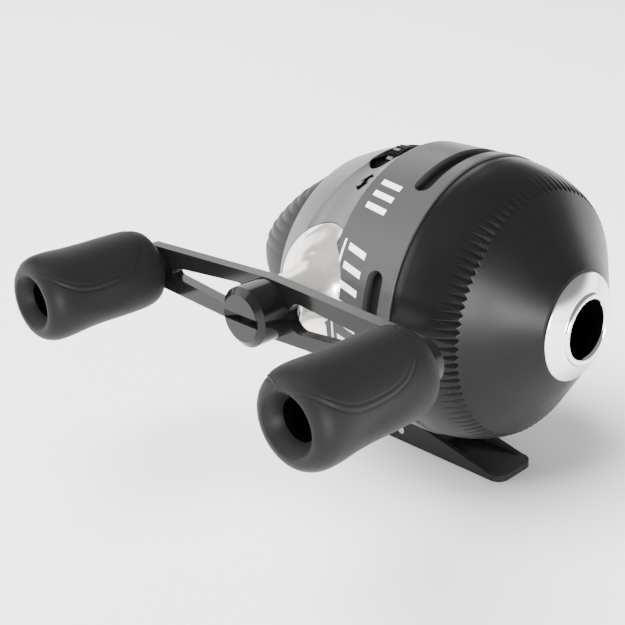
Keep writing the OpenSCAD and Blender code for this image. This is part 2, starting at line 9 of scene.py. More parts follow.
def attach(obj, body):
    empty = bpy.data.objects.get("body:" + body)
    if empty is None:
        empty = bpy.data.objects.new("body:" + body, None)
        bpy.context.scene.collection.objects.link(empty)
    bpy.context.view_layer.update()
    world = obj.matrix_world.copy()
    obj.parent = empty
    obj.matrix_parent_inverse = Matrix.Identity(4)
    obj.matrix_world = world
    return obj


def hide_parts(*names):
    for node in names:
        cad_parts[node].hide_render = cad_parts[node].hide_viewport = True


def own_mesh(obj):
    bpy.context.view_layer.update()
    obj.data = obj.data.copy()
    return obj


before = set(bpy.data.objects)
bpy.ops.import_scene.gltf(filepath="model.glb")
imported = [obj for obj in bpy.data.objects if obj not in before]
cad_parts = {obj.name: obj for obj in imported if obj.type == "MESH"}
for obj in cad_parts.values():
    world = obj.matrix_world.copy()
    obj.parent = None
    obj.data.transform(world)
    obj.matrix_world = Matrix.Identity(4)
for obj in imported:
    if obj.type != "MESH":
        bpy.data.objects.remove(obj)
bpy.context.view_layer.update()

# Lengths are in millimetres unless a comment says otherwise, and MM turns them into Blender's metres.
# Angles given as numbers are in degrees, and a value named turn is in radians.
MM = 0.001
# Height of the reel's axis, which runs along X.
AXIS_Z = 42.0
# Place of the crank's axis, which runs along -Y.
CRANK_X, CRANK_Z = -4.0, 48.0
THIN = 1


# ---- meshes ----

# In metres: points closer than WELD are one point, and edges shorter than SPECK are dropped.
WELD = 2e-6
SPECK = 1e-6
# Faces that meet more sharply than this are shaded with an edge between them.
SHARP = 48


def new_object(name, verts, faces):
    """Mesh object with doubled points welded and the faces turned outwards."""
    mesh = bpy.data.meshes.new(name)
    mesh.from_pydata([tuple(c * MM for c in v) for v in verts], [], [tuple(f) for f in faces])
    bm = bmesh.new()
    bm.from_mesh(mesh)
    bmesh.ops.remove_doubles(bm, verts=bm.verts, dist=WELD)
    bmesh.ops.dissolve_degenerate(bm, edges=bm.edges, dist=SPECK)
    bmesh.ops.recalc_face_normals(bm, faces=bm.faces)
    bm.to_mesh(mesh)
    bm.free()
    obj = bpy.data.objects.new(name, mesh)
    bpy.context.scene.collection.objects.link(obj)
    return obj


def make(name, verts, faces, body, finish, stands_for=()):
    """Piece that rides on a CAD body and stands for the CAD nodes it names."""
    obj = new_object(name, verts, faces)
    obj.data.materials.append(finish)
    obj.data.shade_smooth()
    obj.data.set_sharp_from_angle(angle=math.radians(SHARP))
    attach(obj, body)
    if stands_for:
        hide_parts(*stands_for)
    return obj


def grid_faces(rows, cols, wrap_rows=False, wrap_cols=True):
    """Quads over a grid of points stored row by row."""
    faces = []
    for i in range(rows if wrap_rows else rows - 1):
        for j in range(cols if wrap_cols else cols - 1):
            row, next_row = i * cols, ((i + 1) % rows) * cols
            next_col = (j + 1) % cols
            faces.append((row + j, row + next_col, next_row + next_col, next_row + j))
    return faces


def reel_point(x, r, turn):
    """Point at station x and radius r; turn is 0 at the top and grows towards the crank's side."""
    return (x, -r * math.sin(turn), AXIS_Z + r * math.cos(turn))


def arc(cx, cy, r, start, end, steps):
    """Points along a circular arc."""
    angles = [math.radians(start + (end - start) * k / steps) for k in range(steps + 1)]
    return [(cx + r * math.cos(a), cy + r * math.sin(a)) for a in angles]


def curve(points, steps):
    """Catmull-Rom curve through the points, with that many steps from each to the next."""
    p = [np.array(q, float) for q in points]
    p = [2 * p[0] - p[1]] + p + [2 * p[-1] - p[-2]]
    out = []
    for before, start, end, after in zip(p, p[1:], p[2:], p[3:]):
        for k in range(steps):
            t = k / steps
            out.append(0.5 * (2 * start + (end - before) * t
                              + (2 * before - 5 * start + 4 * end - after) * t * t
                              + (3 * start - before - 3 * end + after) * t ** 3))
    out.append(p[-2])
    return [tuple(q) for q in out]


def rounded(points, radius, steps):
    """Closed outline with its corners rounded by short curves."""
    out = []
    for i, point in enumerate(points):
        corner = np.array(point, float)
        back = np.array(points[i - 1], float) - corner
        ahead = np.array(points[(i + 1) % len(points)], float) - corner
        back_length, ahead_length = np.linalg.norm(back), np.linalg.norm(ahead)
        trim = min(radius, back_length * 0.45, ahead_length * 0.45)
        start = corner + back / back_length * trim
        end = corner + ahead / ahead_length * trim
        for k in range(steps + 1):
            t = k / steps
            out.append(tuple((1 - t) ** 2 * start + 2 * t * (1 - t) * corner + t * t * end))
    return out


def revolve(name, outline, body, finish, stands_for, segments, shape=None):
    """Closed outline of (x, radius) turned about the reel's axis; shape may change each radius."""
    verts = []
    for x, r in outline:
        for j in range(segments):
            turn = 2 * math.pi * j / segments
            verts.append(reel_point(x, shape(x, r, turn) if shape else r, turn))
    faces = grid_faces(len(outline), segments, wrap_rows=True)
    return make(name, verts, faces, body, finish, stands_for)


def prism(outline, start, end, place):
    """Cutting tool between two depths of an outline; place turns (u, v, depth) into a point."""
    n = len(outline)
    verts = [place(u, v, start) for u, v in outline] + [place(u, v, end) for u, v in outline]
    faces = [tuple(range(n)), tuple(range(2 * n - 1, n - 1, -1))]
    faces += [(i, i + n, (i + 1) % n + n, (i + 1) % n) for i in range(n)]
    return new_object("cutter", verts, faces)


def cut(obj, tools):
    """Cut the tools out of a piece and remove them."""
    for tool in tools:
        modifier = obj.modifiers.new("cut", "BOOLEAN")
        modifier.operation = "DIFFERENCE"
        modifier.solver = "EXACT"
        modifier.object = tool
    depsgraph = bpy.context.evaluated_depsgraph_get()
    mesh = bpy.data.meshes.new_from_object(obj.evaluated_get(depsgraph), depsgraph=depsgraph)
    obj.modifiers.clear()
    obj.data = mesh
    for tool in tools:
        bpy.data.objects.remove(tool)


def soften(obj, width, segments, angle):
    """Small rounded edges that catch the light, wherever faces meet more sharply than the angle."""
    edge = obj.modifiers.new("edge", "BEVEL")
    edge.width = width * MM
    edge.segments = segments
    edge.limit_method = "ANGLE"
    edge.angle_limit = math.radians(angle)
    edge.harden_normals = True
    edge.use_clamp_overlap = True
    normals = obj.modifiers.new("normals", "WEIGHTED_NORMAL")
    normals.keep_sharp = True


def darken(obj, inside):
    """Give painted shade, a matt black, to the faces whose centre passes the test, which takes x, y and z."""
    obj.data.materials.append(BORE_SHADE)
    for face in obj.data.polygons:
        if inside(*(c / MM for c in face.center)):
            face.material_index = 1


# ---- materials ----

# Size and detail of the broad noise that makes the sheen uneven, and the detail of the fine grain.
BROAD_SCALE, BROAD_DETAIL = 60, 3
FINE_DETAIL = 4
# The part of a noise's values that is spread over the range asked for.
NOISE_LOW, NOISE_HIGH = 0.3, 0.7
# Coats are all this rough.
COAT_ROUGH = 0.1
# No surface is smoother than this.
LEAST_ROUGH = 0.02


def material(name, color, rough, grain, grain_scale, metallic=0.0, specular=0.5,
             rough_var=0.06, tone_var=0.04, coat=0.0, streak=1):
    """Painted, plated or moulded surface with fine grain, uneven sheen and slight tone changes.

    grain is the grain's height, grain_scale its fineness, and streak draws it out along the reel's axis.
    """
    mat = bpy.data.materials.new(name)
    mat.use_nodes = True
    nodes, links = mat.node_tree.nodes, mat.node_tree.links
    surface = nodes["Principled BSDF"]
    surface.inputs["Metallic"].default_value = metallic
    surface.inputs["Coat Weight"].default_value = coat
    surface.inputs["Coat Roughness"].default_value = COAT_ROUGH
    surface.inputs["Specular IOR Level"].default_value = specular
    place = nodes.new("ShaderNodeTexCoord")

    def noise(scale, detail, stretch):
        mapping = nodes.new("ShaderNodeMapping")
        mapping.inputs["Scale"].default_value = stretch
        links.new(place.outputs["Object"], mapping.inputs["Vector"])
        texture = nodes.new("ShaderNodeTexNoise")
        texture.inputs["Scale"].default_value = scale
        texture.inputs["Detail"].default_value = detail
        links.new(mapping.outputs["Vector"], texture.inputs["Vector"])
        return texture.outputs["Fac"]

    def spread(value, low, high):
        ramp = nodes.new("ShaderNodeMapRange")
        ramp.inputs["From Min"].default_value = NOISE_LOW
        ramp.inputs["From Max"].default_value = NOISE_HIGH
        ramp.inputs["To Min"].default_value = low
        ramp.inputs["To Max"].default_value = high
        links.new(value, ramp.inputs["Value"])
        return ramp.outputs["Result"]

    broad = noise(BROAD_SCALE, BROAD_DETAIL, (1, 1, 1))
    fine = noise(grain_scale, FINE_DETAIL, (1, streak, streak))
    sheen = spread(broad, max(rough - rough_var, LEAST_ROUGH), rough + rough_var)
    links.new(sheen, surface.inputs["Roughness"])
    tone = nodes.new("ShaderNodeMix")
    tone.data_type = "RGBA"
    tone.inputs["A"].default_value = (*[c * (1 - tone_var) for c in color], 1)
    tone.inputs["B"].default_value = (*[min(c * (1 + tone_var), 1) for c in color], 1)
    links.new(spread(fine, 0, 1), tone.inputs["Factor"])
    links.new(tone.outputs["Result"], surface.inputs["Base Color"])
    bump = nodes.new("ShaderNodeBump")
    bump.inputs["Strength"].default_value = 1.0
    bump.inputs["Distance"].default_value = grain * MM
    links.new(fine, bump.inputs["Height"])
    links.new(bump.outputs["Normal"], surface.inputs["Normal"])
    return mat


COVER = material("cover_paint", (0.0045, 0.0045, 0.0046), 0.33, 0.010, 2500, specular=0.15)
BAND = material("band_paint", (0.040, 0.040, 0.041), 0.36, 0.012, 2500, specular=0.2)
SILVER = material("back_paint", (0.098, 0.098, 0.100), 0.36, 0.014, 2600, metallic=0.1, specular=0.3)
NICKEL = material("side_nickel", (0.95, 0.89, 0.825), 0.25, 0.004, 1800, metallic=0.85,
                  rough_var=0.04, tone_var=0.02)
CHROME = material("nose_chrome", (0.93, 0.93, 0.94), 0.13, 0.003, 1500, metallic=1.0,
                  rough_var=0.03, tone_var=0.02)
BLACK = material("body_black", (0.010, 0.010, 0.0102), 0.36, 0.012, 2200, specular=0.2)
GLOSS = material("handle_gloss", (0.006, 0.006, 0.0062), 0.16, 0.002, 1200, specular=0.25, rough_var=0.02)
RUBBER = material("grip_rubber", (0.0090, 0.0090, 0.0093), 0.48, 0.03, 3200, specular=0.09,
                  rough_var=0.05, tone_var=0.08)
BUTTON = material("button_plastic", (0.019, 0.019, 0.0195), 0.45, 0.02, 2600, specular=0.1,
                  rough_var=0.05, tone_var=0.06)
PLASTIC = material("dial_plastic", (0.004, 0.004, 0.004), 0.42, 0.02, 2600, specular=0.06)
STEEL = material("plain_steel", (0.56, 0.56, 0.57), 0.28, 0.006, 700, metallic=1.0,
                 tone_var=0.05, streak=12)
BRASS = material("turned_brass", (0.62, 0.44, 0.18), 0.3, 0.006, 900, metallic=1.0,
                 rough_var=0.07, tone_var=0.06)
ALUMINIUM = material("turned_aluminium", (0.70, 0.70, 0.71), 0.3, 0.006, 800, metallic=1.0, streak=10)
LINE = material("wound_line", (0.60, 0.70, 0.64), 0.25, 0.06, 1500, rough_var=0.05, tone_var=0.08, coat=0.4)
FELT = material("pressed_felt", (0.20, 0.185, 0.16), 0.9, 0.08, 2800, rough_var=0.05, tone_var=0.2)
# Painted shade: a near-black matt finish for the faces inside holes and bores.
BORE_SHADE = material("painted_bore_shade", (0.0012, 0.0012, 0.0012), 0.7, 0.004, 3000, specular=0.0,
                rough_var=0.05, tone_var=0.02)
INK_LIGHT = material("light_ink", (0.86, 0.86, 0.86), 0.42, 0.006, 3000, rough_var=0.05, tone_var=0.02)
INK_DARK = material("dark_ink", (0.002, 0.002, 0.002), 0.7, 0.006, 3000, specular=0.0,
                    rough_var=0.05, tone_var=0.02)
PAPER = material("floor_paper", (0.93, 0.93, 0.93), 0.8, 0.01, 400, specular=0.1,
                 rough_var=0.05, tone_var=0.005)


# ---- front cover and nose ----

# The corner where the cover's side turns into the cone, and how far the cone runs from it.
CORNER_X, CORNER_R = 32.0, 27.95
CONE_LENGTH, CONE_DROP = 10.6, 15.75
# Vee grooves over the corner: how many, how deep, and half of one's width as a share of its pitch.
GROOVES, GROOVE_DEPTH, GROOVE_HALF = 96, 0.72, 0.41
# Where they begin, and how far past the corner they run out.
GROOVE_START, GROOVE_RUNOUT = 26.6, 0.5
# Mesh columns in each groove.
GROOVE_COLUMNS = 14


def front_cover():
    """Cup-shaped cover with a serrated corner and a plain cone."""
    side = curve([(20.0, 32.3), (23.0, 31.8), (26.0, 30.95), (28.5, 29.92), (30.5, 28.9),
                  (CORNER_X, CORNER_R)], 10)
    rows = (0.012, 0.024, 0.036, 0.048, 0.06, 0.075, 0.1, 0.15, 0.3, 0.45, 0.6, 0.75, 0.9, 0.97, 1.0)
    cone = [(CORNER_X + CONE_LENGTH * t, CORNER_R - CONE_DROP * t) for t in rows]
    rim_and_inside = [(42.6, 11.9), (42.6, 9.2), (41.0, 9.2), (41.0, 11.8), (31.0, 26.4), (29.0, 27.8),
                      (26.0, 29.2), (22.0, 30.65), (17.9, 30.65), (17.9, 32.1), (17.98, 32.3), (18.2, 32.42)]

    def grooved(x, r, turn):
        """Radius with the vee grooves, which deepen up to the corner and run out on the cone."""
        if x < GROOVE_START or (x, r) in rim_and_inside:
            return r
        if x <= CORNER_X:
            depth = GROOVE_DEPTH * ((x - GROOVE_START) / (CORNER_X - GROOVE_START)) ** 1.5
        else:
            depth = GROOVE_DEPTH * max(0, 1 - (x - CORNER_X) / GROOVE_RUNOUT)
        phase = (turn * GROOVES / (2 * math.pi)) % 1.0
        return r - max(0.0, depth - GROOVE_DEPTH * abs(phase - 0.5) / GROOVE_HALF)

    revolve("front_cover_shell", side + cone + rim_and_inside, "reel_body", COVER,
            ("front_cover",), GROOVES * GROOVE_COLUMNS // THIN, grooved)


def nose_ring():
    """Polished cone ring with a rolled lip round the line hole."""
    face = [(42.75, 12.05), (42.9, 12.02), (43.0, 11.9), (44.55, 8.55), (44.66, 8.3), (44.72, 8.15)]
    lip = curve([(44.8, 8.05), (45.15, 7.95), (45.38, 7.6), (45.4, 7.2), (45.2, 6.8), (44.8, 6.55),
                 (44.2, 6.3), (43.0, 6.12)], 6)
    back = [(40.2, 6.06), (39.6, 6.6), (39.6, 9.1), (42.6, 9.1)]
    obj = revolve("nose_ring_polished", face + lip + back, "reel_body", CHROME, ("nose_ring",), 192)
    # The chrome faces inside the line hole get painted shade, matt black instead of chrome.
    hole_front, hole_r = 44.9, 6.5
    darken(obj, lambda x, y, z: x < hole_front and math.hypot(y, z - AXIS_Z) < hole_r)


# ---- body band ----

# Rear and front edge of the band, its radius at each, and its bore.
BAND_REAR, BAND_FRONT = -0.6, 17.8
BAND_REAR_R, BAND_FRONT_R = 33.0, 32.85
BAND_BORE = 30.65
# Slots: station, half width, half their angle without the round ends, and places round the band.
SLOT_X, SLOT_HALF_WIDTH, SLOT_HALF_ANGLE = 12.45, 2.15, 27.1
SLOT_PLACES = (-96, 0, 96)
# Half width of a slot's cutter at its very end, so that it stays a solid.
SLOT_END = 0.12


def slot_cutter(middle):
    """Swept tool for one slot with round ends, at a place round the band."""
    end_angle = math.degrees(SLOT_HALF_WIDTH / BAND_REAR_R)
    reach, half_count = SLOT_HALF_ANGLE + end_angle, 36
    inner, outer = 29.5, 35.0
    verts = []
    for k in range(-half_count, half_count + 1):
        angle = reach * math.sin(math.pi / 2 * k / half_count)
        over = max(abs(angle) - SLOT_HALF_ANGLE, 0) / end_angle
        half = max(SLOT_HALF_WIDTH * math.sqrt(max(1 - over * over, 0)), SLOT_END)
        verts += [reel_point(SLOT_X + u, r, math.radians(angle + middle))
                  for u, r in ((half, inner), (half, outer), (-half, outer), (-half, inner))]
    caps = [(0, 1, 2, 3), tuple(range(len(verts) - 1, len(verts) - 5, -1))]
    return new_object("cutter", verts, grid_faces(2 * half_count + 1, 4) + caps)


def body_band():
    """Ring with three slots, an opening for the foot's stem and a notch for the crank's boss."""
    outline = rounded([(BAND_REAR, BAND_BORE), (BAND_REAR, BAND_REAR_R), (BAND_FRONT, BAND_FRONT_R),
                       (BAND_FRONT, BAND_BORE)], 0.35, 4)
    obj = revolve("body_band_ring", outline, "reel_body", BAND, ("body_band",), 384)
    tools = [slot_cutter(middle) for middle in SLOT_PLACES]
    stem_opening = [(-2, -5.3), (8.4, -5.3), (8.4, 5.3), (-2, 5.3)]
    tools.append(prism(stem_opening, 0, 14, lambda x, y, z: (x, y, z)))
    boss_notch = arc(CRANK_X, CRANK_Z, 6.5, 0, 352.5, 47)
    tools.append(prism(boss_notch, -20, -40, lambda x, z, y: (x, y, z)))
    cut(obj, tools)
    soften(obj, 0.18, 3, 40)


# ---- print on the band ----

# How far the print stands off the band.
PRINT_LIFT = 0.02


def band_bar(name, rear, front, start, end, slant=0.0):
    """Printed bar between two stations and two angles; slant shifts its front end round the band."""
    cols, rows = int((end - start) * 1.5) + 2, 6
    taper = (BAND_REAR_R - BAND_FRONT_R) / (BAND_FRONT - BAND_REAR)
    verts = []
    for i in range(rows):
        t = i / (rows - 1)
        x = rear + (front - rear) * t
        r = BAND_REAR_R + PRINT_LIFT - taper * (x - BAND_REAR)
        for j in range(cols):
            angle = start + (end - start) * j / (cols - 1) + slant * t
            verts.append(reel_point(x, r, math.radians(angle)))
    make(name, verts, grid_faces(rows, cols, wrap_cols=False), "reel_body", INK_LIGHT)


def band_print():
    """A thin line and plain slanting bars where a maker's print would be."""
    band_bar("print_line", 1.2, 1.75, 57, 124)
    for k in range(9):
        start = 58 + 7.2 * k
        band_bar(f"print_bar_{k}", 2.9, 8.2, start, start + 2.6, 2.4)
    for k in range(3):
        start = 29.5 + 5.6 * k
        band_bar(f"print_mark_{k}", 2.2, 8.2, start, start + 2.5, 1.6)


# ---- back cover ----

# The dome's length behind the band and its radius there.
DOME_LENGTH, DOME_R = 34.8, 32.6
# Where the dome's front edge meets the band.
DOME_FRONT = -0.8
# The soft crease: its station at the top, how far it sweeps back, and the angle at which it has done so.
CREASE_TOP, CREASE_SWEEP, CREASE_ANGLE = -7.0, 7.5, 55.0
# The hollow in front of it: its depth, the angle at which it has run out, and over how many degrees it fades.
HOLLOW_DEPTH, HOLLOW_END, HOLLOW_FADE = 1.25, 125, 30
# The finger pocket round the drag dial: its middle, half width and half length.
POCKET_X, POCKET_HALF_WIDTH, POCKET_HALF_LENGTH = -6.7, 2.8, 10.5
# The nickel side plate's centre, the radius of its edge and that of the hole it sits in.
PLATE_X, PLATE_Z, PLATE_R, PLATE_HOLE_R = -3.0, 41.5, 19.62, 19.8


def dome_r(x, inset=0.0):
    """Radius of the dome at a station, or of a copy of it that lies further in."""
    t = min(max(-x / (DOME_LENGTH - inset), 0.0), 1.0)
    return (DOME_R - inset) * max(1 - t ** 1.19, 0.0) ** 0.25


def clock(turn):
    """Degrees from the top of the reel, on either side."""
    return abs((math.degrees(turn) + 180) % 360 - 180)


def crease_start(turn):
    """Station of the soft crease, which sweeps back down the sides."""
    return CREASE_TOP - CREASE_SWEEP * min(clock(turn) / CREASE_ANGLE, 1.0) ** 1.2


def crease(x, r, turn):
    """Radius with the shallow hollow between the band and the crease."""
    start = crease_start(turn)
    if x <= start or x > DOME_FRONT - 0.1 or clock(turn) > HOLLOW_END:
        return r
    t = (x - start) / (DOME_FRONT - start)
    fade = min(1.0, (HOLLOW_END - clock(turn)) / HOLLOW_FADE)
    return r - HOLLOW_DEPTH * fade * math.sin(math.pi * t ** 0.62)


def top_radius(x, y):
    """Radius of the back cover above a point (x, y), found in a few passes."""
    r = dome_r(x)
    for _ in range(4):
        r = crease(x, dome_r(x), math.asin(min(max(-y / r, -1), 1)))
    return r


def back_cover_tools():
    """Tools for the button's opening and channel, the plate's hole, the dial's pocket and two screws."""
    tilt, pivot_x, pivot_z = math.radians(8.5), -24.3, 43
    floor_z, far = 33.5, 60

    def tilted(u, v, y):
        x = pivot_x + u * math.cos(tilt) + v * math.sin(tilt)
        return (x, y, pivot_z + v * math.cos(tilt) - u * math.sin(tilt))

    floor_v = (floor_z - pivot_z) / math.cos(tilt)
    opening = [(0, floor_v), (0, far), (-far, far), (-far, floor_v - far * math.tan(tilt))]
    side, low = 23.3, 42.3
    channel = arc(0, 44.2, side, 0, 180, 48) + arc(0, low, side, 180, 202, 6)
    channel += [(-side * 0.92, floor_z), (side * 0.92, floor_z)] + arc(0, low, side, 338, 360, 6)
    plate_hole = arc(PLATE_X, PLATE_Z, PLATE_HOLE_R, 0, 357, 119)
    end = POCKET_HALF_LENGTH - POCKET_HALF_WIDTH
    pocket = arc(0, end, POCKET_HALF_WIDTH, 0, 180, 16) + arc(0, -end, POCKET_HALF_WIDTH, 180, 360, 16)
    tools = [prism(opening, -far, far, tilted),
             prism(channel, -far, -12.5, lambda y, z, x: (x, y, z)),
             prism(plate_hole, 5, -far, lambda x, z, y: (x, y, z)),
             prism(pocket, 67, 85, lambda u, y, z: (u + POCKET_X, y, z))]
    for y in (-13, 13):
        tools.append(prism(arc(y, 29, 2.7, 0, 352.5, 47), -40, -28.6, lambda v, z, x: (x, v, z)))
    return tools


def back_cover():
    """Thin dome whose rows of points follow the crease."""
    hollow_rows, dome_rows, inner_rows = 16, 52, 60
    segments = 384 // THIN
    turns = [2 * math.pi * j / segments for j in range(segments)]
    verts = []
    for k in range(hollow_rows + dome_rows + 1):
        for turn in turns:
            start = crease_start(turn)
            if k <= hollow_rows:
                x = DOME_FRONT + (start - DOME_FRONT) * k / hollow_rows
            else:
                x = start - (DOME_LENGTH + start) * math.sin(math.pi / 2 * (k - hollow_rows) / dome_rows)
            verts.append(reel_point(x, max(crease(x, dome_r(x), turn), 0.02), turn))
    wall, thick_front, extra, inner_length = 1.4, -13, 0.9, 32.6
    for k in range(inner_rows, -1, -1):
        x = DOME_FRONT - inner_length * math.sin(math.pi / 2 * k / inner_rows)
        r = dome_r(x, wall) - (extra if x > thick_front else 0)
        verts += [reel_point(x, max(r, 0.02), turn) for turn in turns]
    faces = grid_faces(len(verts) // segments, segments, wrap_rows=True)
    obj = make("back_cover_dome", verts, faces, "reel_body", SILVER, ("back_cover",))
    cut(obj, back_cover_tools())
    soften(obj, 0.3, 3, 42)


# ---- drag dial ----

# The dial's light bars: how many, and the radius and height above the reel's axis of the circle they lie on.
DIAL_BARS, DIAL_R, DIAL_RISE = 14, 6.63, 24.8


def dome_mark(name, points):
    """Flat printed shape of (x, y) points laid on the back cover's top."""
    lift = 0.07
    bm = bmesh.new()
    bm.faces.new([bm.verts.new((x, y, 0)) for x, y in points])
    bmesh.ops.triangulate(bm, faces=bm.faces)
    bmesh.ops.subdivide_edges(bm, edges=bm.edges, cuts=3, use_grid_fill=True)
    verts = []
    for v in bm.verts:
        x, y = v.co.x, v.co.y
        verts.append((x, y, AXIS_Z + math.sqrt((top_radius(x, y) + lift) ** 2 - y * y)))
    bm.verts.index_update()
    faces = [[v.index for v in f.verts] for f in bm.faces]
    bm.free()
    make(name, verts, faces, "reel_body", INK_DARK)


def dial_marks():
    """Plain two-headed arrow beside the dial, and a scale of short lines in front of it."""
    arrow_x, arrow_y = -4.5, -15.6
    tip, neck, head, shaft = 2.4, 0.7, 2.2, 0.8
    side = [(head, neck), (shaft, neck), (shaft, -neck), (head, -neck)]
    outline = [(0, tip)] + side + [(0, -tip)] + [(-u, v) for u, v in reversed(side)]
    dome_mark("dial_arrow", [(arrow_x + u, arrow_y + v) for u, v in outline])
    rear, half = -3.3, 0.22
    for k in range(5):
        y, front = -6 + 3 * k, -1.6 - 0.25 * k
        corners = [(rear, y - half), (front, y - half), (front, y + half), (rear, y + half)]
        dome_mark(f"dial_tick_{k}", corners)


def well_loop(half_width, half_length, corner, drop, blend):
    """Closed loop of points round the dial, a depth below the cover.

    blend is 0 where the loop follows the cover's hollow and 1 where it follows the plain dome.
    """
    steps, flat = 24, half_length - corner
    hollow, hollow_y, hollow_half = 4.4, 8.6, 1.7
    loop = []
    for u, y in arc(0, flat, corner, 0, 180, steps) + arc(0, -flat, corner, 180, 360, steps):
        x, r = u * half_width / corner + POCKET_X, 32.0
        for _ in range(4):
            cover = crease(x, dome_r(x), math.asin(min(max(-y / r, -1), 1)))
            r = blend * dome_r(x) + (1 - blend) * cover
        r -= drop + hollow * blend * (1 - blend) * max(1 - ((abs(y) - hollow_y) / hollow_half) ** 2, 0)
        loop.append((x, y, AXIS_Z + math.sqrt(r * r - y * y)))
    return loop


def dial_well():
    """Dark finger hollow round the dial, from the cover's pocket down to the dial's slot."""
    edge, slot, slot_length, count = 2.76, 1.95, 6.0, 10
    loops = []
    for k in range(count + 1):
        t = k / count
        half_width = edge + (slot - edge) * t
        half_length = POCKET_HALF_LENGTH + (slot_length - POCKET_HALF_LENGTH) * t
        drop = 0.25 + 1.6 * math.sin(math.pi / 2 * t) ** 0.7
        loops.append(well_loop(half_width, half_length, edge - 2.0 * t, drop, t))
    loops += [well_loop(slot, slot_length, 0.76, 2.3, 1.0),
              well_loop(2.3, 8.4, 1.8, 3.7, 1.0),
              well_loop(edge, POCKET_HALF_LENGTH, edge, 2.8, 1.0)]
    verts = [point for loop in loops for point in loop]
    make("dial_well", verts, grid_faces(len(loops), len(loops[0]), wrap_rows=True), "reel_body",
         PLASTIC, ("dial_bezel",))


def dial_bars():
    """Light bars on the dial's edge, one between each pair of notches."""
    pitch, width, cols = 360 / DIAL_BARS, 7, 5
    rear, length = -7.9, 1.7
    for k in range(DIAL_BARS):
        verts = []
        for x in (rear, rear + length):
            for j in range(cols):
                a = math.radians((k + 0.25) * pitch + width * (j / (cols - 1) - 0.5))
                verts.append((x, DIAL_R * math.sin(a), AXIS_Z + DIAL_RISE + DIAL_R * math.cos(a)))
        make(f"dial_bar_{k}", verts, grid_faces(2, cols, wrap_cols=False), "dial", SILVER)


# ---- nickel side plate ----

# The boss's outline, as (distance out from the reel's axis along -Y, radius round the crank).
FLARE = curve([(24.0, 16.5), (26.6, 14.6), (28.6, 12.4), (30.3, 10.2), (31.8, 8.5), (33.4, 7.2), (35.4, 6.45),
               (38.4, 6.1), (41.2, 5.97), (42.2, 5.85), (42.6, 5.3)], 8)
# Radius of the crank's hole in the boss, and the plate's thickness.
CRANK_HOLE_R, PLATE_WALL = 4.65, 1.4
# How far the plate lies under the dome, and how deep its own hollow beside the band is.
PLATE_SINK, PLATE_HOLLOW = 0.05, 0.8
# The boss takes over from the dome as the radius falls from the first of these by the second. The third
# rounds the join, and the fourth makes the boss narrower towards the band.
BOSS_START, BOSS_BLEND, BOSS_ROUND, BOSS_LEAN = 13.0, 4.5, 0.6, 0.2


def flare_depth(radius):
    """How far out the boss reaches at a distance from the crank's axis."""
    if radius <= FLARE[-1][1]:
        return FLARE[-1][0]
    for (depth, r), (next_depth, next_r) in zip(FLARE, FLARE[1:]):
        if next_r <= radius <= r:
            return depth + (next_depth - depth) * (r - radius) / max(r - next_r, 1e-6)
    return 0.0


def plate_height(x, z, radius):
    """Distance of the plate's face from the reel's axis, where the dome blends into the boss."""
    round_r = dome_r(min(x, DOME_FRONT))
    side = math.sqrt(max(round_r ** 2 - (z - AXIS_Z) ** 2, 0))
    start = crease_start(math.atan2(side, z - AXIS_Z))
    if start < x < DOME_FRONT:
        round_r -= PLATE_HOLLOW * math.sin(math.pi * ((x - start) / (DOME_FRONT - start)) ** 0.8) ** 2
    round_r -= PLATE_SINK
    dome = math.sqrt(max(round_r ** 2 - (z - AXIS_Z) ** 2, 0))
    lean = BOSS_LEAN * max((x - CRANK_X) / radius, 0) * min(max((radius - 6) / 3, 0), 1)
    rise = flare_depth(radius * (1 + lean)) - dome
    near = min(max((BOSS_START - radius) / BOSS_BLEND, 0), 1)
    near = near * near * (3 - 2 * near)
    return dome + near * (rise + math.sqrt(rise * rise + BOSS_ROUND)) / 2


def plate_reach(turn):
    """Distance from the crank's axis to the plate's edge, which is a circle cut off at the band."""
    along_x, along_z = math.cos(turn), math.sin(turn)
    from_x, from_z = CRANK_X - PLATE_X, CRANK_Z - PLATE_Z
    half = from_x * along_x + from_z * along_z
    reach = -half + math.sqrt(half * half - (from_x * from_x + from_z * from_z - PLATE_R ** 2))
    if along_x <= 1e-3:
        return reach
    band_edge, band_r, step = BAND_REAR - 0.35, BAND_REAR_R + 0.1, 0.02
    line = (band_edge - CRANK_X) / along_x
    under_band = line
    for k in range(400):
        radius = 5.5 + k * step
        x, z = CRANK_X + radius * along_x, CRANK_Z + radius * along_z
        if plate_height(x, z, radius) < math.sqrt(max(band_r ** 2 - (z - AXIS_Z) ** 2, 0)):
            under_band = radius
            break
    return min(reach, max(line, under_band))


def side_plate():
    """Plate that follows the dome and flares out into the crank's boss."""
    spokes, outer_rings = 256 // THIN, 8
    turns = [2 * math.pi * j / spokes for j in range(spokes)]
    edge = [plate_reach(turn) for turn in turns]
    radii = sorted({round(r, 4) for r in [CRANK_HOLE_R, 5.0] + [r for _, r in FLARE] if r >= CRANK_HOLE_R})
    last = radii[-1]
    rings = [[min(r, end) for end in edge] for r in radii]
    for k in range(1, outer_rings + 1):
        t = k / outer_rings
        rings.append([last * (1 - t) + end * t if end > last else end for end in edge])

    def ring_points(radii_round, depth):
        points = []
        for radius, turn in zip(radii_round, turns):
            x, z = CRANK_X + radius * math.cos(turn), CRANK_Z + radius * math.sin(turn)
            points.append((x, depth(x, z, radius), z))
        return points

    verts = ring_points(rings[0], lambda x, z, radius: -20.0)
    for ring in rings:
        verts += ring_points(ring, lambda x, z, radius: -plate_height(x, z, radius))
    verts += ring_points(rings[-1], lambda x, z, radius: PLATE_WALL - plate_height(x, z, radius))
    faces = [face for face in grid_faces(len(rings) + 2, spokes) if len({verts[i] for i in face}) >= 3]
    obj = make("side_plate_shell", verts, faces, "reel_body", NICKEL, ("side_plate",))
    soften(obj, 0.22, 3, 50)


# ---- grip knobs ----

# Inner end of the knobs, as a distance from the reel's axis.
KNOB_START = 48
